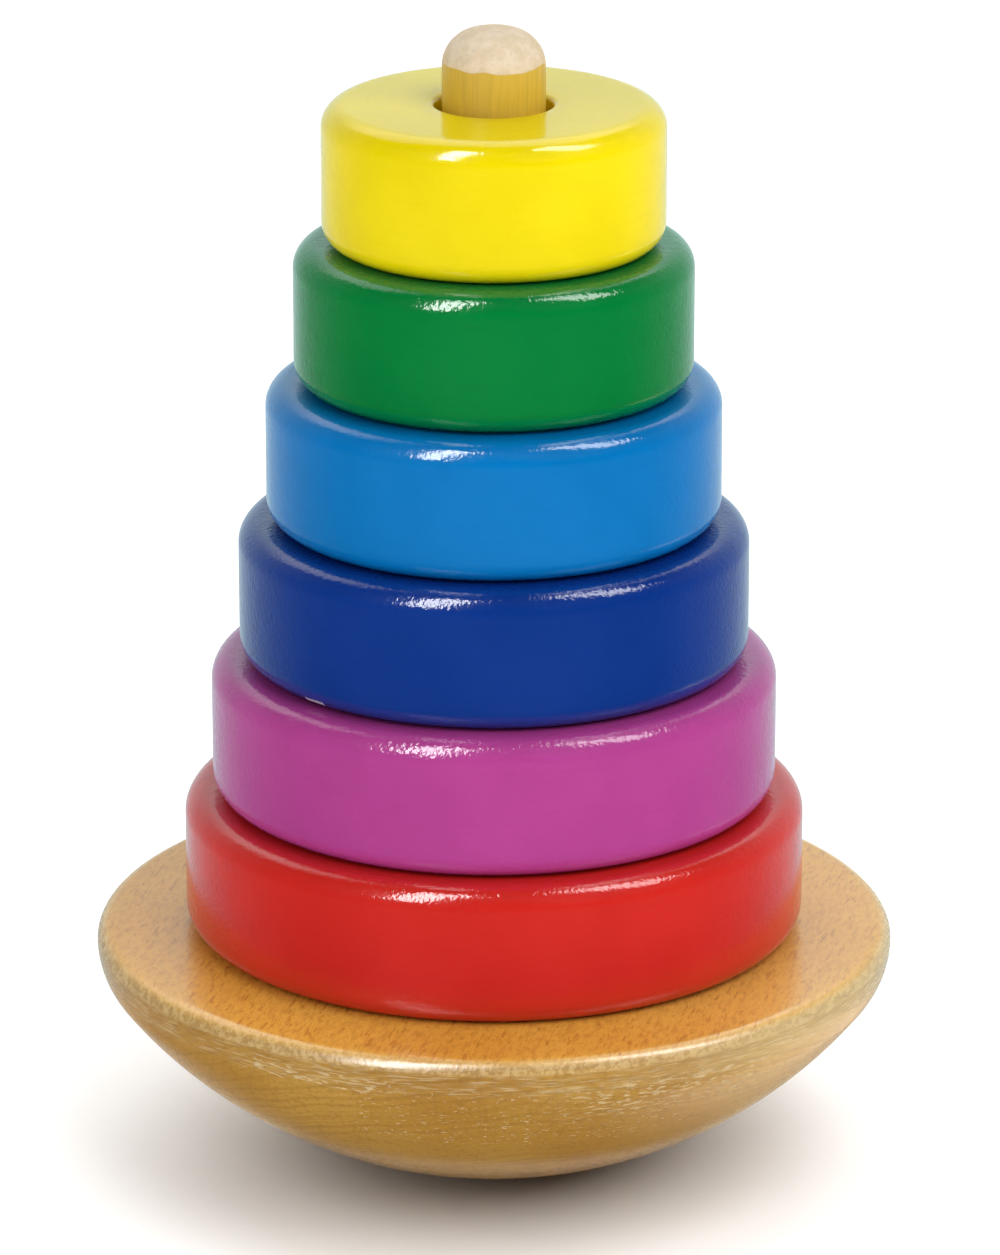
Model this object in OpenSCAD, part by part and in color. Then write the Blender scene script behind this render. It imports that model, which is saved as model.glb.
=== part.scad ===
// Wobbling ring tower: six turned wooden rings stacked on a peg that stands in a round-bottomed base.
// Sizes are in millimetres. The foot of the base rests on z = 0 and the peg runs up along +Z.

/* [Base] */
// Diameter of the base at its widest
base_d = 142; // [124:1:172]
// Height of the base, from its foot to its flat top
base_h = 43; // [35:0.5:52]
// Rounding between the flat top and the flank
rim_edge_r = 3; // [1:0.5:5]
// Rounding between the flank and the round underside
flank_r = 11.5; // [6:0.5:16]
// Diameter of the small flat foot in the middle of the underside
foot_d = 24; // [12:1:36]
// Depth of the blind hole that holds the peg
socket_depth = 30; // [15:1:32]
// Glue gap all round the peg in its hole
glue_gap = 0.05; // [0.02:0.01:0.2]

/* [Peg] */
// Diameter of the peg
peg_d = 18; // [14:0.5:24]
// Height that the peg stands out of the top ring
peg_proud = 13; // [10:0.5:30]
// Rounding of the peg's tip
peg_tip_r = 6.5; // [2:0.5:7]
// Bevel on the peg's lower end
peg_bevel = 1; // [0.5:0.25:3]

/* [Rings] */
// Diameter of the bottom ring
largest_ring_d = 110; // [90:1:132]
// Difference in diameter between one ring and the next
ring_step = 10; // [4:0.5:12]
// Thickness of each ring
ring_t = 25; // [18:0.5:36]
// Rounding of each ring's outer edges
ring_edge_r = 4.25; // [1:0.25:6]
// Rounding of the edges of each ring's hole
bore_edge_r = 1; // [0.5:0.25:2]
// Gap all round the peg in each ring's hole
ring_clearance = 1.25; // [0.5:0.05:2]

/* [Hidden] */
$fn = 128;

BEECH = [0.84, 0.66, 0.42];
BEECH_PALE = [0.90, 0.76, 0.55];
RED = [0.80, 0.14, 0.12];
PURPLE = [0.68, 0.24, 0.55];
DARK_BLUE = [0.05, 0.21, 0.53];
LIGHT_BLUE = [0.01, 0.47, 0.75];
GREEN = [0.00, 0.50, 0.23];
YELLOW = [0.95, 0.90, 0.03];

ring_count = 6;
base_r = base_d / 2;
foot_r = foot_d / 2;
peg_r = peg_d / 2;
bore_r = peg_r + ring_clearance;

// The base's widest level, where the rim rounding meets the flank rounding
widest_z = base_h - rim_edge_r;
// Distance from the axis to the centre of the flank rounding
flank_x = base_r - flank_r;
// The rocker is the sphere that passes through the foot's edge and touches the flank rounding from outside.
// Its radius is the larger root of a quadratic: rocker_a r^2 - 2 rocker_b r - rocker_c = 0.
rocker_k = (pow(flank_x, 2) + pow(widest_z, 2) - pow(foot_r, 2) - pow(flank_r, 2)) / 2;
rocker_a = pow(widest_z, 2) - pow(flank_r, 2);
rocker_b = rocker_k * flank_r;
rocker_c = pow(rocker_k, 2) + pow(widest_z * foot_r, 2);
rocker_r = (rocker_b + sqrt(pow(rocker_b, 2) + rocker_a * rocker_c)) / rocker_a;
// Height of the rocker sphere's centre
rocker_z = sqrt(pow(rocker_r, 2) - pow(foot_r, 2));
// The point where the rocker passes into the flank rounding
touch_scale = rocker_r / (rocker_r - flank_r);
touch_x = flank_x * touch_scale;
touch_z = rocker_z + (widest_z - rocker_z) * touch_scale;

peg_foot_z = base_h - socket_depth;
peg_top_z = base_h + ring_count * ring_t + peg_proud;

// Ring 0 is the bottom ring
function ring_r(level) = (largest_ring_d - level * ring_step) / 2;
function ring_floor(level) = base_h + level * ring_t;

// Half outline of the base without its hole: x is the distance from the axis, y is the height
module base_outline() {
    // The round underside and the core
    intersection() {
        translate([0, rocker_z]) circle(r = rocker_r);
        polygon([[0, 0], [touch_x, 0], [touch_x, touch_z], [flank_x, widest_z], [flank_x, base_h], [0, base_h]]);
    }
    // The flank
    intersection() {
        translate([flank_x, widest_z]) circle(r = flank_r);
        translate([0, widest_z - flank_r]) square([base_r, flank_r]);
    }
    // The rim
    translate([base_r - rim_edge_r, widest_z]) circle(r = rim_edge_r);
    square_from(0, base_r - rim_edge_r, widest_z, base_h);
}

// Half outline of the peg
module peg_outline() {
    intersection() {
        union() {
            polygon([[0, peg_foot_z], [peg_r - peg_bevel, peg_foot_z], [peg_r, peg_foot_z + peg_bevel],
                     [peg_r, peg_top_z - peg_tip_r], [0, peg_top_z - peg_tip_r]]);
            square_from(0, peg_r - peg_tip_r, peg_top_z - peg_tip_r, peg_top_z);
            translate([peg_r - peg_tip_r, peg_top_z - peg_tip_r]) circle(r = peg_tip_r);
        }
        square_from(0, peg_r, peg_foot_z, peg_top_z);
    }
}

// Half outline of a ring that stands on y = 0
module ring_outline(outer_r) {
    square_from(bore_r, outer_r - ring_edge_r, bore_edge_r, ring_t - bore_edge_r);
    square_from(bore_r + bore_edge_r, outer_r - ring_edge_r, 0, ring_t);
    square_from(bore_r + bore_edge_r, outer_r, ring_edge_r, ring_t - ring_edge_r);
    for (z = [bore_edge_r, ring_t - bore_edge_r])
        translate([bore_r + bore_edge_r, z]) circle(r = bore_edge_r);
    for (z = [ring_edge_r, ring_t - ring_edge_r])
        translate([outer_r - ring_edge_r, z]) circle(r = ring_edge_r);
}

module square_from(x0, x1, y0, y1) {
    translate([x0, y0]) square([x1 - x0, y1 - y0]);
}

// One ring at its place in the stack
module ring(level, shade) {
    color(shade) translate([0, 0, ring_floor(level)]) rotate_extrude() ring_outline(ring_r(level));
}

module base() {
    color(BEECH) rotate_extrude() difference() {
        base_outline();
        square_from(0, peg_r + glue_gap, peg_foot_z, base_h);
    }
}

module peg() {
    color(BEECH_PALE) rotate_extrude() peg_outline();
}

module ring_red() { ring(0, RED); }
module ring_purple() { ring(1, PURPLE); }
module ring_dark_blue() { ring(2, DARK_BLUE); }
module ring_light_blue() { ring(3, LIGHT_BLUE); }
module ring_green() { ring(4, GREEN); }
module ring_yellow() { ring(5, YELLOW); }

base();
peg();
ring_red();
ring_purple();
ring_dark_blue();
ring_light_blue();
ring_green();
ring_yellow();
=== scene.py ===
"""The looks of the wobbling ring tower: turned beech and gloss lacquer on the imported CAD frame.

Lengths are in metres. The object stands on z = 0, its axis is the Z axis, and its front looks along -Y.
"""

import math

import bpy
import numpy as np
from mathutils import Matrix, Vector, noise


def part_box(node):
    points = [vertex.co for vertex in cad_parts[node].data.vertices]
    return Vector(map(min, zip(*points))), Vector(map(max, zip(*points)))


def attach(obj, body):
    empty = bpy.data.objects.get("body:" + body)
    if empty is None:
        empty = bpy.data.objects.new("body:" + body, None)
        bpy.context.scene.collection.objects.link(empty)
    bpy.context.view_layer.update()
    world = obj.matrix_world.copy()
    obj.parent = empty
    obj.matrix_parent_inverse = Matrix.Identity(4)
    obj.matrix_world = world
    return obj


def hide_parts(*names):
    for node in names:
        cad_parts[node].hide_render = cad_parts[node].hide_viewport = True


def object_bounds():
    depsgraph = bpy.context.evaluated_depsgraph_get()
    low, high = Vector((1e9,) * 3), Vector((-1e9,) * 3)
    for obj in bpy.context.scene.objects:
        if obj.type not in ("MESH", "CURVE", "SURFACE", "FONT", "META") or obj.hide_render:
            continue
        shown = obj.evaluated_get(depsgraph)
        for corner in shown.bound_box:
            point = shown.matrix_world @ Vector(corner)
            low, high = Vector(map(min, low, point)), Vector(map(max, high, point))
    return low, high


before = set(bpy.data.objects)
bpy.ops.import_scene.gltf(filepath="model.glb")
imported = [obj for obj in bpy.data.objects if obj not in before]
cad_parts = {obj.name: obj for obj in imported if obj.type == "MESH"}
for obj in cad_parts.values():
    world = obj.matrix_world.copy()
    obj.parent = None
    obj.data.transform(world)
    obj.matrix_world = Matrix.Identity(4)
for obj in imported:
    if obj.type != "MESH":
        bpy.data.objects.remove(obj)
cad_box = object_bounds()

MM = 0.001
FULL_TURN = 2 * math.pi

# The rings from the bottom up: CAD node, body, material slot, lacquer colour (linear), depth of its
# orange peel and seed of its small irregularities
RINGS = [
    ("ring_red", "red_ring", "lacquer_red", (0.59, 0.019, 0.013), 0.075 * MM, 1),
    ("ring_purple", "purple_ring", "lacquer_purple", (0.42, 0.050, 0.258), 0.115 * MM, 2),
    ("ring_dark_blue", "dark_blue_ring", "lacquer_dark_blue", (0.003, 0.032, 0.225), 0.080 * MM, 3),
    ("ring_light_blue", "light_blue_ring", "lacquer_light_blue", (0.001, 0.165, 0.47), 0.070 * MM, 4),
    ("ring_green", "green_ring", "lacquer_green", (0.0005, 0.188, 0.036), 0.070 * MM, 5),
    ("ring_yellow", "yellow_ring", "lacquer_yellow", (0.83, 0.655, 0.001), 0.030 * MM, 6),
]


# ---- Shapes ----

SAME_POINT = 1e-7
ON_AXIS = 1e-9


def arc(centre_r, centre_z, radius, start, end, steps):
    """Points (r, z) along an arc, from start to end in degrees."""
    angles = np.radians(np.linspace(start, end, steps + 1))
    return [(centre_r + radius * math.cos(a), centre_z + radius * math.sin(a)) for a in angles]


def line(start, end, step):
    """Points from start to end, about step apart."""
    count = max(1, round(math.dist(start, end) / step))
    first = np.array(start)
    way = np.array(end) - first
    return [tuple(first + way * i / count) for i in range(count + 1)]


def joined(*stretches):
    """The stretches end to end, without the points that two of them share."""
    outline = []
    for stretch in stretches:
        for point in stretch:
            if not outline or math.dist(outline[-1], point) > SAME_POINT:
                outline.append(point)
    return outline


def lathe(name, outline, segments, closed, shape_noise=None):
    """A mesh turned about the Z axis. A closed outline comes back to its first point."""
    if closed and math.dist(outline[0], outline[-1]) < SAME_POINT:
        outline = outline[:-1]
    angles = [FULL_TURN * i / segments for i in range(segments)]
    points, rows = [], []
    for r, z in outline:
        if r < ON_AXIS:
            rows.append([len(points)] * segments)
            points.append((0.0, 0.0, z))
            continue
        rows.append(list(range(len(points), len(points) + segments)))
        for a in angles:
            p = Vector((r * math.cos(a), r * math.sin(a), z))
            points.append(tuple(p if shape_noise is None else shape_noise(p)))
    faces = []
    for i in range(len(rows) if closed else len(rows) - 1):
        low, high = rows[i], rows[(i + 1) % len(rows)]
        for j in range(segments):
            k = (j + 1) % segments
            corners = [low[j], low[k], high[k], high[j]]
            faces.append([c for n, c in enumerate(corners) if c not in corners[:n]])
    mesh = bpy.data.meshes.new(name)
    mesh.from_pydata(points, [], faces)
    mesh.validate()
    mesh.shade_smooth()
    piece = bpy.data.objects.new(name, mesh)
    bpy.context.scene.collection.objects.link(piece)
    return piece


def pulled_in(depth, wavelength, seed):
    """A shape noise that pulls the surface towards the axis by up to depth, as hand sanding does."""
    offset = Vector((17.3 * seed, 5.1 * seed, 9.7 * seed))

    def moved(p):
        share = 0.5 + 0.5 * max(-1.0, min(1.0, noise.noise(p / wavelength + offset) * 1.6))
        flat = Vector((p.x, p.y, 0.0))
        return p - flat.normalized() * depth * share

    return moved


def inner_radius(node):
    """The radius of a CAD node's hole."""
    return min(math.hypot(v.co.x, v.co.y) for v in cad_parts[node].data.vertices)


EDGE_R = 4.25 * MM       # rounding of a ring's outer edges
BORE_EDGE_R = 1.0 * MM   # rounding of the edges of its hole
RIM_R = 3.0 * MM         # rounding between the base's top and its flank
FLANK_R = 11.5 * MM      # rounding between the flank and the round underside
FOOT_R = 12.0 * MM       # flat foot under the base
TIP_R = 6.5 * MM         # rounding of the peg's tip
PEG_BEVEL = 1.0 * MM     # bevel on the peg's lower end
GLUE_GAP = 0.05 * MM     # glue gap round the peg

RING_SEGMENTS = 320
BASE_SEGMENTS = 384
PEG_SEGMENTS = 128
RIPPLE_DEPTH = 0.05 * MM   # how far a ring's outside is from truly round
RIPPLE_LENGTH = 14 * MM


def make_ring(node, seed):
    """A ring with rounded edges, its outside a little uneven."""
    low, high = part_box(node)
    outer, bore = high.x, inner_radius(node)
    bottom, top = low.z, high.z
    edge, lip = outer - EDGE_R, bore + BORE_EDGE_R
    outline = joined(
        line((lip, bottom), (edge, bottom), 2.5 * MM),
        arc(edge, bottom + EDGE_R, EDGE_R, -90, 0, 14),
        line((outer, bottom + EDGE_R), (outer, top - EDGE_R), 1.0 * MM),
        arc(edge, top - EDGE_R, EDGE_R, 0, 90, 14),
        line((edge, top), (lip, top), 2.5 * MM),
        arc(lip, top - BORE_EDGE_R, BORE_EDGE_R, 90, 180, 6),
        line((bore, top - BORE_EDGE_R), (bore, bottom + BORE_EDGE_R), 4 * MM),
        arc(lip, bottom + BORE_EDGE_R, BORE_EDGE_R, 180, 270, 6),
    )
    ripple = pulled_in(RIPPLE_DEPTH, RIPPLE_LENGTH, seed)

    def only_outside(p):
        return ripple(p) if math.hypot(p.x, p.y) > (bore + outer) / 2 else p

    return lathe(node + "_turned", outline, RING_SEGMENTS, True, only_outside)


def make_base():
    """The round-bottomed base with the blind hole that the peg is glued into."""
    base_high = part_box("base")[1]
    peg_low, peg_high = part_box("peg")
    base_r, top = base_high.x, base_high.z
    hole_r, hole_floor = peg_high.x + GLUE_GAP, peg_low.z
    widest_z, flank_x = top - RIM_R, base_r - FLANK_R
    # The rocker sphere passes through the foot's edge and touches the flank rounding from outside
    k = (flank_x**2 + widest_z**2 - FOOT_R**2 - FLANK_R**2) / 2
    a = widest_z**2 - FLANK_R**2
    b = k * FLANK_R
    c = k**2 + (widest_z * FOOT_R) ** 2
    rocker_r = (b + math.sqrt(b * b + a * c)) / a
    rocker_z = math.sqrt(rocker_r**2 - FOOT_R**2)
    foot_angle = -math.degrees(math.acos(FOOT_R / rocker_r))
    touch_angle = math.degrees(math.atan2(widest_z - rocker_z, flank_x))
    outline = joined(
        line((0, 0), (FOOT_R, 0), 3 * MM),
        arc(0, rocker_z, rocker_r, foot_angle, touch_angle, 48),
        arc(flank_x, widest_z, FLANK_R, touch_angle, 0, 14),
        arc(base_r - RIM_R, widest_z, RIM_R, 0, 90, 12),
        line((base_r - RIM_R, top), (hole_r, top), 2.5 * MM),
        line((hole_r, top), (hole_r, hole_floor), 5 * MM),
        line((hole_r, hole_floor), (0, hole_floor), 3 * MM),
    )
    return lathe("base_turned", outline, BASE_SEGMENTS, False)


def make_peg():
    """The dowel, bevelled below and rounded at its tip."""
    low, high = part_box("peg")
    r = high.x
    outline = joined(
        line((0, low.z), (r - PEG_BEVEL, low.z), 2 * MM),
        [(r, low.z + PEG_BEVEL)],
        line((r, low.z + PEG_BEVEL), (r, high.z - TIP_R), 2.5 * MM),
        arc(r - TIP_R, high.z - TIP_R, TIP_R, 0, 90, 14),
        line((r - TIP_R, high.z), (0, high.z), 1 * MM),
    )
    return lathe("peg_dowel", outline, PEG_SEGMENTS, False)


# ---- Materials ----

def add(tree, kind, sockets=None, **settings):
    """Adds a shader node. settings are its own properties; sockets holds values or other outputs."""
    made = tree.nodes.new("ShaderNode" + kind)
    for key, value in settings.items():
        setattr(made, key, value)
    for key, value in (sockets or {}).items():
        if isinstance(value, bpy.types.NodeSocket):
            tree.links.new(value, made.inputs[key])
        else:
            made.inputs[key].default_value = value
    return made


def calc(tree, operation, first, second=0.0):
    """A maths node's result."""
    return add(tree, "Math", {0: first, 1: second}, operation=operation).outputs[0]


def ranged(tree, value, start, end, low=0.0, high=1.0):
    """value between start and end, turned into low to high and held there."""
    sockets = {"Value": value, "From Min": start, "From Max": end, "To Min": low, "To Max": high}
    return add(tree, "MapRange", sockets, interpolation_type="SMOOTHSTEP").outputs["Result"]


def mixed(tree, share, first, second):
    """first and second colour mixed by share."""
    # 6 and 7 are the node's colour inputs, and 2 is its colour output
    return add(tree, "Mix", {0: share, 6: first, 7: second}, data_type="RGBA").outputs[2]


def noise_of(tree, where, scale, detail=3.0, rough=0.55):
    """Noise from 0 to 1 with about scale lumps to the metre."""
    sockets = {"Vector": where, "Scale": scale, "Detail": detail, "Roughness": rough}
    return add(tree, "TexNoise", sockets).outputs["Fac"]


def stretched(tree, where, scale, shift=(0, 0, 0)):
    """Coordinates scaled and shifted. A scale under 1 stretches a pattern along that axis."""
    return add(tree, "Mapping", {"Vector": where, "Scale": scale, "Location": shift}).outputs[0]


def own_place(tree):
    """The piece's own coordinates in metres."""
    return add(tree, "TexCoord").outputs["Object"]


def round_place(tree, radius):
    """Coordinates round the axis: X along a circle of this radius from the front, Y outwards, Z up."""
    xyz = add(tree, "SeparateXYZ", {0: own_place(tree)}).outputs
    x, y = xyz["X"], xyz["Y"]
    angle = calc(tree, "ARCTAN2", x, calc(tree, "MULTIPLY", y, -1.0))
    square = calc(tree, "ADD", calc(tree, "MULTIPLY", x, x), calc(tree, "MULTIPLY", y, y))
    outwards = calc(tree, "SQRT", square)
    sockets = {"X": calc(tree, "MULTIPLY", angle, radius), "Y": outwards, "Z": xyz["Z"]}
    return add(tree, "CombineXYZ", sockets).outputs[0]


def bump(tree, height, depth, under=None):
    """A normal from a height of 0 to 1 times depth, on top of the normal under."""
    sockets = {"Height": height, "Distance": depth, "Strength": 1.0}
    if under is not None:
        sockets["Normal"] = under
    return add(tree, "Bump", sockets).outputs[0]


def new_material(name):
    """A new material, its node tree and its shader."""
    material = bpy.data.materials.new(name)
    material.use_nodes = True
    return material, material.node_tree, material.node_tree.nodes["Principled BSDF"]


def rgba(colour, factor=1.0):
    """A linear colour, lightened or darkened by factor, with full alpha."""
    return tuple(c * factor for c in colour) + (1.0,)


def lacquer(name, colour, peel_depth, seed, radius, pale_mark=None):
    """Gloss lacquer on turned wood: orange peel, turning marks that show through, and an uneven tone.
    pale_mark is the middle of a small pale mark, as its angle from the front and its height."""
    material, tree, shader = new_material(name)
    shift = (3.1 * seed, 1.7 * seed, 0.9 * seed)
    plain = stretched(tree, own_place(tree), (1, 1, 1), shift)
    turned = stretched(tree, round_place(tree, radius), (0.08, 1, 1), shift)
    cloud = noise_of(tree, plain, 45.0, 2.0)
    marks = noise_of(tree, turned, 1100.0, 3.0)
    peel = noise_of(tree, plain, 1300.0, 1.5)
    waves = noise_of(tree, plain, 260.0, 1.0)
    tone = mixed(tree, ranged(tree, cloud, 0.3, 0.7), rgba(colour, 0.95), rgba(colour, 1.04))
    tone = mixed(tree, ranged(tree, marks, 0.5, 0.8, 0.0, 0.3), tone, rgba(colour, 0.88))
    # A small pale mark near the lower edge of the ring.
    if pale_mark:
        spot = add(tree, "SeparateXYZ", {0: round_place(tree, radius)}).outputs
        middle, half = pale_mark[0] * radius, PALE_MARK_LENGTH / 2
        ragged = calc(tree, "MULTIPLY", ranged(tree, peel, 0.3, 0.7, -0.1, 0.1), PALE_MARK_HEIGHT)
        height = calc(tree, "ADD", spot["Z"], ragged)
        across = window(tree, spot["X"], middle - half, middle + half, PALE_MARK_HEIGHT / 2)
        low, high = pale_mark[1] - PALE_MARK_HEIGHT / 2, pale_mark[1] + PALE_MARK_HEIGHT / 2
        upwards = window(tree, height, low, high, PALE_MARK_HEIGHT / 5)
        tone = mixed(tree, calc(tree, "MULTIPLY", across, upwards), tone, rgba(PALE_MARK_TONE))
    rough = ranged(tree, cloud, 0.3, 0.7, 0.11, 0.15)
    normal = bump(tree, waves, WAVE_DEPTH)
    normal = bump(tree, marks, MARK_DEPTH, normal)
    normal = bump(tree, peel, peel_depth, normal)
    tree.links.new(tone, shader.inputs["Base Color"])
    tree.links.new(rough, shader.inputs["Roughness"])
    tree.links.new(normal, shader.inputs["Normal"])
    shader.inputs["IOR"].default_value = 1.5
    return material


WAVE_DEPTH = 0.050 * MM
MARK_DEPTH = 0.012 * MM
PALE_MARK_LENGTH = 4.2 * MM
PALE_MARK_HEIGHT = 0.6 * MM
PALE_MARK_MIDDLE = 1.3 * MM      # height of the pale mark's middle above the bottom of its ring
PALE_MARK_ANGLE = math.radians(-45)
PALE_MARK_TONE = (0.62, 0.60, 0.72)   # the colour of the pale mark

# Growth layers: how far they wander, and how far from the piece the middle of the tree lies, in metres
LAYER_WOBBLE = 9 * MM
BASE_PITH = (0.03, 0.11)
PEG_PITH = (0.02, 0.05)


def growth_layers(tree, along, pith, fineness):
    """Uneven layers round a pith that lies outside the piece, as a value from 0 to 1."""
    xyz = add(tree, "SeparateXYZ", {0: along}).outputs
    across = {"X": calc(tree, "ADD", xyz["Y"], pith[0]), "Y": calc(tree, "ADD", xyz["Z"], pith[1])}
    offset = add(tree, "CombineXYZ", across).outputs[0]
    radius = add(tree, "VectorMath", {0: offset}, operation="LENGTH").outputs["Value"]
    wobble = noise_of(tree, stretched(tree, along, (0.3, 1, 1)), 30.0, 2.0)
    radius = calc(tree, "ADD", radius, calc(tree, "MULTIPLY", wobble, LAYER_WOBBLE))
    depth = calc(tree, "MULTIPLY", radius, fineness)
    sockets = {"W": depth, "Scale": 1.0, "Detail": 4.0, "Roughness": 0.6}
    return add(tree, "TexNoise", sockets, noise_dimensions="1D").outputs["Fac"]


def window(tree, value, start, end, soft):
    """1 where value lies between start and end, fading to 0 over soft outside them."""
    rise = ranged(tree, value, start - soft, start)
    fall = ranged(tree, value, end, end + soft, 1.0, 0.0)
    return calc(tree, "MULTIPLY", rise, fall)


TOP_LIGHT = (0.90, 0.52, 0.085)
TOP_DARK = (0.80, 0.41, 0.055)
TOP_FLECK = (0.50, 0.20, 0.025)
# The flank's two tones are darker copies of the top's: painted shade on the flank.
SHADED_FLANK_LIGHT = (0.50, 0.275, 0.048)
SHADED_FLANK_DARK = (0.415, 0.200, 0.027)
FLANK_LINE = (0.27, 0.125, 0.018)
# A pale cream, for the real scuffs of the flank and for the painted sheen on the right of the base.
SCUFF_AND_SHEEN = (0.86, 0.72, 0.42)
# The pale tone of the band round the rim: painted highlight.
PAINTED_RIM_HIGHLIGHT = (0.90, 0.68, 0.34)
MOTTLE_DEPTH = 0.050 * MM
LAYER_DEPTH = 0.015 * MM
SCUFF_DEPTH = 0.04 * MM
WIDEST_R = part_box("base")[1].x
GRAIN_TURN = math.radians(-77)   # which way the base's grain runs


def scuffs(tree):
    """Where the varnish of the flank is rubbed: streaks below the rim and on the right, and specks."""
    round_way = round_place(tree, WIDEST_R)
    spot = add(tree, "SeparateXYZ", {0: round_way}).outputs
    streaks = noise_of(tree, stretched(tree, round_way, (0.07, 1, 1)), 3200.0, 2.0)
    scratches = noise_of(tree, stretched(tree, round_way, (0.22, 1, 1)), 2000.0, 3.0)
    specks = noise_of(tree, stretched(tree, round_way, (0.45, 1, 1)), 2000.0, 2.0)
    band = window(tree, spot["Z"], 37.5 * MM, 40 * MM, 1.5 * MM)
    band = calc(tree, "MULTIPLY", band, ranged(tree, streaks, 0.45, 0.70, 0.0, 0.6))
    left = calc(tree, "MULTIPLY", window(tree, spot["X"], -42 * MM, -20 * MM, 8 * MM),
                window(tree, spot["Z"], 36.5 * MM, 38.5 * MM, 1 * MM))
    right = calc(tree, "MULTIPLY", window(tree, spot["X"], 20 * MM, 46 * MM, 12 * MM),
                 window(tree, spot["Z"], 32 * MM, 36.5 * MM, 3 * MM))
    sides = calc(tree, "MAXIMUM", left, right)
    rubbed = calc(tree, "MULTIPLY", sides, ranged(tree, scratches, 0.50, 0.66))
    middle = calc(tree, "MULTIPLY", window(tree, spot["X"], -22 * MM, 34 * MM, 12 * MM),
                  window(tree, spot["Z"], 26 * MM, 36 * MM, 4 * MM))
    specked = calc(tree, "MULTIPLY", middle, ranged(tree, specks, 0.60, 0.72, 0.0, 0.8))
    return calc(tree, "MAXIMUM", calc(tree, "MAXIMUM", rubbed, band), specked)


def painted_right_sheen(tree, top):
    """Painted sheen: how much paler the right of the rim and flank, and a little of the top, are made,
    standing in for light reflected from the right.
    """
    spot = add(tree, "SeparateXYZ", {0: own_place(tree)}).outputs
    side = ranged(tree, spot["X"], 15 * MM, 55 * MM, 0.0, 0.3)
    side = calc(tree, "MULTIPLY", side, ranged(tree, top, 0, 1, 1.0, 0.35))
    return calc(tree, "MULTIPLY", side, ranged(tree, spot["Z"], 34 * MM, 39 * MM))


def base_beech():
    """Varnished beech: flecks along the grain on top, layers on the flank, and scuffs below the rim."""
    material, tree, shader = new_material("beech_base")
    place = own_place(tree)
    sockets = {"Vector": place, "Angle": GRAIN_TURN}
    along = add(tree, "VectorRotate", sockets, rotation_type="Z_AXIS").outputs[0]
    facing = add(tree, "SeparateXYZ", {0: add(tree, "NewGeometry").outputs["Normal"]}).outputs["Z"]
    top = ranged(tree, facing, 0.55, 0.95)
    layers = growth_layers(tree, along, BASE_PITH, 1100.0)
    cloud = noise_of(tree, stretched(tree, along, (0.4, 1, 1)), 32.0, 3.0)
    mottle = noise_of(tree, stretched(tree, along, (0.35, 1, 1)), 1100.0, 3.0, 0.6)
    pores = noise_of(tree, stretched(tree, along, (0.25, 1, 1)), 3000.0, 2.0)
    flecks = noise_of(tree, stretched(tree, along, (0.2, 1, 1)), 1500.0, 1.0, 0.4)
    upper = mixed(tree, ranged(tree, cloud, 0.3, 0.7), rgba(TOP_LIGHT), rgba(TOP_DARK))
    upper = mixed(tree, ranged(tree, mottle, 0.42, 0.70, 0.0, 0.40), upper, rgba(TOP_FLECK))
    upper = mixed(tree, ranged(tree, flecks, 0.62, 0.72, 0.0, 0.60), upper, rgba(TOP_FLECK))
    # The flank takes the darker copies of the top's tones: painted shade.
    lower = mixed(tree, ranged(tree, cloud, 0.3, 0.7), rgba(SHADED_FLANK_LIGHT), rgba(SHADED_FLANK_DARK))
    lower = mixed(tree, ranged(tree, layers, 0.40, 0.70, 0.0, 0.38), lower, rgba(FLANK_LINE))
    lower = mixed(tree, ranged(tree, mottle, 0.45, 0.70, 0.0, 0.45), lower, rgba(FLANK_LINE))
    tone = mixed(tree, top, lower, upper)
    # A paler band round the rim, broken up by the mottle: painted highlight.
    rim = window(tree, facing, 0.30, 0.80, 0.18)
    rim = calc(tree, "MULTIPLY", rim, ranged(tree, mottle, 0.35, 0.65, 0.42, 0.12))
    tone = mixed(tree, rim, tone, rgba(PAINTED_RIM_HIGHLIGHT))
    tone = mixed(tree, ranged(tree, pores, 0.52, 0.72, 0.0, 0.35), tone, rgba(FLANK_LINE))
    # Painted sheen: the right of the rim and flank made paler, as light from the right would show them.
    tone = mixed(tree, painted_right_sheen(tree, top), tone, rgba(SCUFF_AND_SHEEN))
    worn = scuffs(tree)
    tone = mixed(tree, calc(tree, "MULTIPLY", worn, 0.5), tone, rgba(SCUFF_AND_SHEEN))
    rough = ranged(tree, mottle, 0.3, 0.8, 0.17, 0.27)
    rough = calc(tree, "ADD", rough, calc(tree, "MULTIPLY", worn, 0.2))
    rough = calc(tree, "ADD", rough, calc(tree, "MULTIPLY", rim, 0.25))
    normal = bump(tree, mottle, MOTTLE_DEPTH)
    normal = bump(tree, layers, LAYER_DEPTH, normal)
    normal = bump(tree, worn, SCUFF_DEPTH, normal)
    tree.links.new(tone, shader.inputs["Base Color"])
    tree.links.new(rough, shader.inputs["Roughness"])
    tree.links.new(normal, shader.inputs["Normal"])
    shader.inputs["Specular IOR Level"].default_value = 0.9
    shader.inputs["IOR"].default_value = 1.5
    return material


PEG_SIDE = (0.72, 0.47, 0.050)
PEG_END = (0.77, 0.63, 0.46)
PEG_END_DARK = (0.70, 0.55, 0.36)
PEG_GRIT = (0.55, 0.46, 0.36)
FIBRE_DEPTH = 0.015 * MM
GRIT_DEPTH = 0.12 * MM
VARNISH_WAVE = 2.0 * MM     # how far the edge of the varnish wanders up and down
VARNISH_EDGE = (1.6 * MM, 1.9 * MM)   # where it ends, above the start of the tip's rounding


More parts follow.
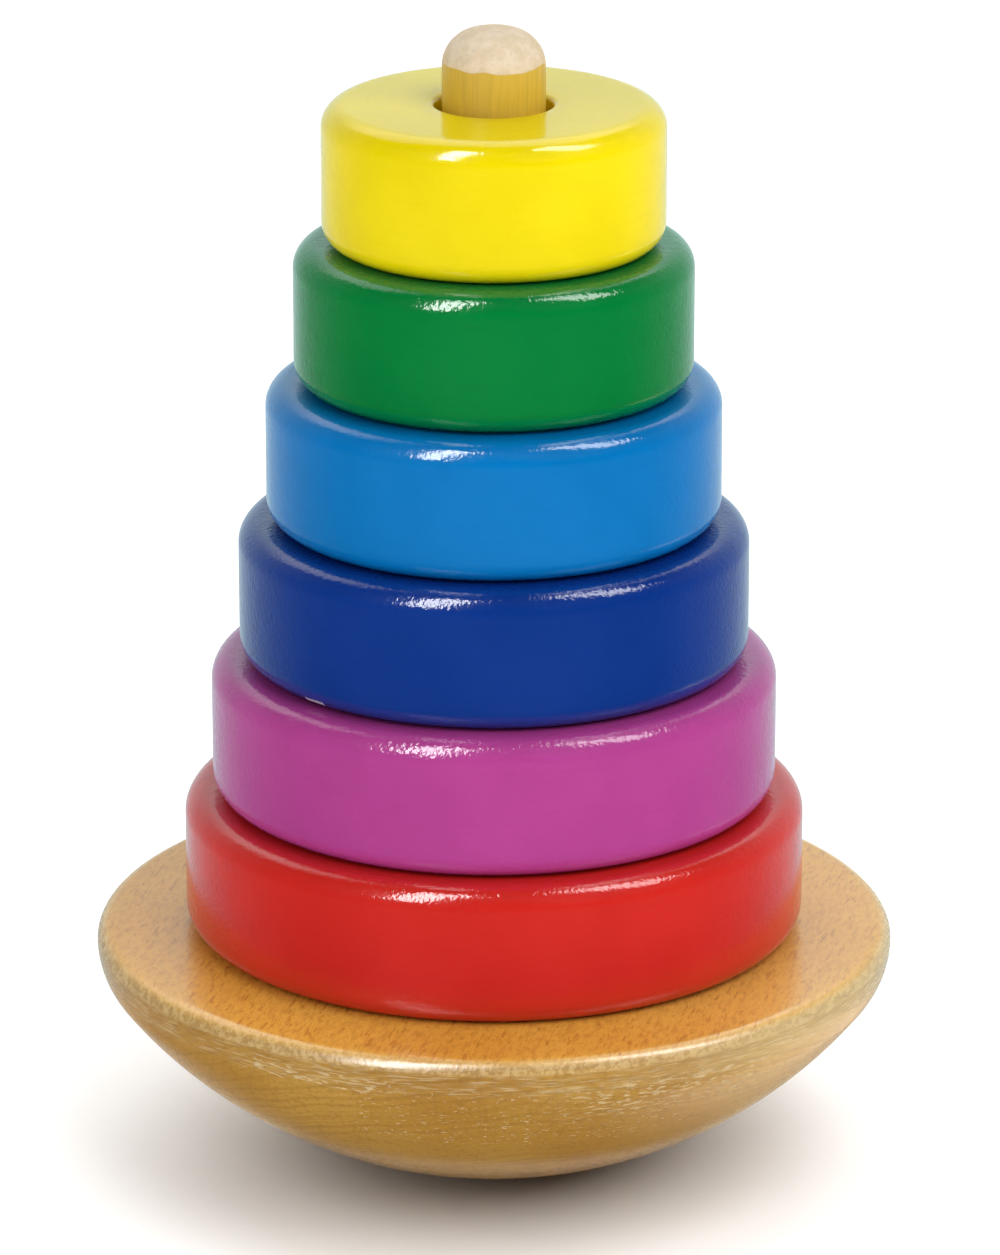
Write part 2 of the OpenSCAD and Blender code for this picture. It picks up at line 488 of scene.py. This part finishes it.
def peg_beech(bare_from):
    """A dowel with upright grain. Its tip, above bare_from, is sanded end grain with no varnish."""
    material, tree, shader = new_material("beech_peg")
    place = own_place(tree)
    xyz = add(tree, "SeparateXYZ", {0: place}).outputs
    along = add(tree, "CombineXYZ", {"X": xyz["Z"], "Y": xyz["X"], "Z": xyz["Y"]}).outputs[0]
    layers = growth_layers(tree, along, PEG_PITH, 900.0)
    fibre = noise_of(tree, stretched(tree, along, (0.06, 1, 1)), 1800.0, 3.0)
    grit = noise_of(tree, place, 1500.0, 4.0, 0.7)
    blotch = noise_of(tree, place, 350.0, 2.0)
    side = mixed(tree, ranged(tree, layers, 0.4, 0.7, 0.0, 0.5), rgba(PEG_SIDE), rgba(PEG_SIDE, 0.82))
    side = mixed(tree, ranged(tree, fibre, 0.5, 0.75, 0.0, 0.5), side, rgba(PEG_SIDE, 0.72))
    end = mixed(tree, ranged(tree, blotch, 0.35, 0.65), rgba(PEG_END), rgba(PEG_END_DARK))
    end = mixed(tree, ranged(tree, grit, 0.5, 0.75, 0.0, 0.6), end, rgba(PEG_GRIT))
    wave = noise_of(tree, stretched(tree, place, (1, 1, 0.2)), 170.0, 1.0)
    level = calc(tree, "ADD", xyz["Z"], calc(tree, "MULTIPLY", wave, VARNISH_WAVE))
    bare = ranged(tree, level, bare_from + VARNISH_EDGE[0], bare_from + VARNISH_EDGE[1])
    tone = mixed(tree, bare, side, end)
    rough = ranged(tree, fibre, 0.3, 0.8, 0.30, 0.42)
    rough = calc(tree, "ADD", rough, calc(tree, "MULTIPLY", bare, 0.45))
    normal = bump(tree, fibre, FIBRE_DEPTH)
    normal = bump(tree, calc(tree, "MULTIPLY", grit, bare), GRIT_DEPTH, normal)
    tree.links.new(tone, shader.inputs["Base Color"])
    tree.links.new(rough, shader.inputs["Roughness"])
    tree.links.new(normal, shader.inputs["Normal"])
    return material


# ---- The object ----

def finish_piece(piece, node, body, material):
    """Gives a piece its material and hands it to the frame in place of its CAD node."""
    piece.data.materials.append(material)
    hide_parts(node)
    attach(piece, body)


for node, body, slot, colour, peel_depth, seed in RINGS:
    low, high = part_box(node)
    pale_mark = (PALE_MARK_ANGLE, low.z + PALE_MARK_MIDDLE) if node == "ring_dark_blue" else None
    ring = make_ring(node, seed)
    paint = lacquer(slot, colour, peel_depth, seed, high.x, pale_mark)
    finish_piece(ring, node, body, paint)
finish_piece(make_base(), "base", "stand", base_beech())
finish_piece(make_peg(), "peg", "stand", peg_beech(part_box("peg")[1].z - TIP_R))


# ---- The stage, the light and the camera ----

def make_floor():
    """A plain white floor with a soft light of its own. It is in two pieces, and gloss shows only
    the one under the object, as if the rest of the studio were dark."""
    material, tree, shader = new_material("floor_paper")
    fine = noise_of(tree, own_place(tree), 60.0, 2.0)
    tone = mixed(tree, fine, rgba(WHITE_PAPER, 0.93), rgba(WHITE_PAPER, 0.95))
    tree.links.new(tone, shader.inputs["Base Color"])
    shader.inputs["Roughness"].default_value = 0.9
    shader.inputs["Specular IOR Level"].default_value = 0.1
    near = lathe("floor_near", [(NEAR_FLOOR_R, 0), (0, 0)], FLOOR_SEGMENTS, False)
    far = lathe("floor_far", [(FAR_FLOOR_R, 0), (NEAR_FLOOR_R, 0)], FLOOR_SEGMENTS, False)
    far.visible_glossy = False
    lit = bpy.data.collections.new("floor_only")
    for floor in (near, far):
        floor.data.materials.append(material)
        lit.objects.link(floor)
    lamp = bpy.data.objects.new("floor_light", bpy.data.lights.new("floor_light", "SUN"))
    lamp.data.energy = FLOOR_LIGHT
    lamp.data.angle = FLOOR_LIGHT_ANGLE
    lamp.light_linking.receiver_collection = lit
    bpy.context.scene.collection.objects.link(lamp)


def panel(name, azimuth, elevation, size, radiance, shine, shade):
    """A light panel. Azimuth is counted to the right from the front, radiance is how bright it looks,
    it is seen in gloss only with shine, and it lights colour only with shade."""
    light = bpy.data.lights.new(name, "AREA")
    light.shape = "RECTANGLE"
    light.size, light.size_y = size
    light.energy = radiance * size[0] * size[1] * math.pi
    lamp = bpy.data.objects.new(name, light)
    bpy.context.scene.collection.objects.link(lamp)
    a, e = math.radians(azimuth), math.radians(elevation)
    back = Vector((math.sin(a) * math.cos(e), -math.cos(a) * math.cos(e), math.sin(e)))
    lamp.location = Vector((0, 0, (cad_box[0].z + cad_box[1].z) / 2)) + back * LIGHT_DISTANCE
    lamp.rotation_euler = back.to_track_quat("Z", "Y").to_euler()
    lamp.visible_camera = False
    lamp.visible_glossy = shine
    lamp.visible_diffuse = shade


def make_world():
    """A dark studio with a white surround behind the object, a soft light above it and behind, and
    a bright floor on the right behind it that only gloss shows."""
    world = bpy.data.worlds.new("studio")
    world.use_nodes = True
    tree = world.node_tree
    way = add(tree, "SeparateXYZ", {0: add(tree, "TexCoord").outputs["Generated"]}).outputs
    sockets = {"Value": way["Y"], "From Min": -0.3, "From Max": 1.0}
    rear = calc(tree, "POWER", add(tree, "MapRange", sockets).outputs["Result"], 1.7)
    rear = calc(tree, "MULTIPLY", rear, ranged(tree, way["Z"], 0.45, 0.8, 0.95, 0.1))
    rear = calc(tree, "MULTIPLY", rear, ranged(tree, way["Z"], -0.8, -0.4, 0.1, 1.0))
    beside = ranged(tree, way["X"], 0.16, 0.42, 0.0, 1.3)
    beside = calc(tree, "MULTIPLY", beside, ranged(tree, way["Y"], -0.1, 0.3))
    beside = calc(tree, "MULTIPLY", beside, ranged(tree, way["Z"], -0.55, -0.42, 1.0, 0.0))
    above = ranged(tree, way["Z"], 0.42, 0.7, 0.0, 1.7)
    above = calc(tree, "MULTIPLY", above, ranged(tree, way["Y"], 0.1, 0.4))
    above = calc(tree, "MULTIPLY", above, window(tree, way["X"], -0.5, 0.32, 0.15))
    total = calc(tree, "ADD", calc(tree, "ADD", rear, beside), calc(tree, "ADD", above, DARK_STUDIO))
    background = tree.nodes["Background"]
    seen = add(tree, "LightPath").outputs["Is Camera Ray"]
    tint = mixed(tree, ranged(tree, way["Z"], 0.35, 0.6), COOL, WHITE)
    tint = mixed(tree, ranged(tree, way["Z"], -0.50, -0.38), WARM, tint)
    tree.links.new(mixed(tree, seen, tint, WHITE), background.inputs["Color"])
    tree.links.new(calc(tree, "MAXIMUM", total, seen), background.inputs["Strength"])
    bpy.context.scene.world = world


COOL = (0.78, 0.97, 1.0, 1.0)
WARM = (1.0, 0.85, 0.65, 1.0)
WHITE = (1.0, 1.0, 1.0, 1.0)
WHITE_PAPER = (1.0, 1.0, 1.0)
DARK_STUDIO = 0.01
LIGHT_DISTANCE = 1.2
NEAR_FLOOR_R = 0.040
FAR_FLOOR_R = 60.0
FLOOR_SEGMENTS = 96
FLOOR_LIGHT = 2.1
FLOOR_LIGHT_ANGLE = math.radians(120)
make_floor()
make_world()
panel("glint_left", -33, 49, (0.24, 1.00), 22, True, False)
panel("glint_right", 80, 60, (0.34, 0.62), 10, True, False)
panel("soft_left", -45, 30, (1.2, 1.0), 1.55, False, True)
panel("soft_right", 50, 45, (1.2, 1.0), 3.1, False, True)

CAMERA_ELEVATION = math.radians(18.7)
CAMERA_DISTANCE = 1.275
CAMERA_LENS = 206.9
CAMERA_SENSOR = 36
aim = Vector((1.06 * MM, 0, 97.3 * MM))
camera = bpy.data.objects.new("camera", bpy.data.cameras.new("camera"))
bpy.context.scene.collection.objects.link(camera)
camera.data.lens = CAMERA_LENS
camera.data.sensor_width = CAMERA_SENSOR
back = Vector((0, -math.cos(CAMERA_ELEVATION), math.sin(CAMERA_ELEVATION)))
camera.location = aim + back * CAMERA_DISTANCE
camera.rotation_euler = back.to_track_quat("Z", "Y").to_euler()
bpy.context.scene.camera = camera
bpy.context.scene.view_settings.view_transform = "Standard"
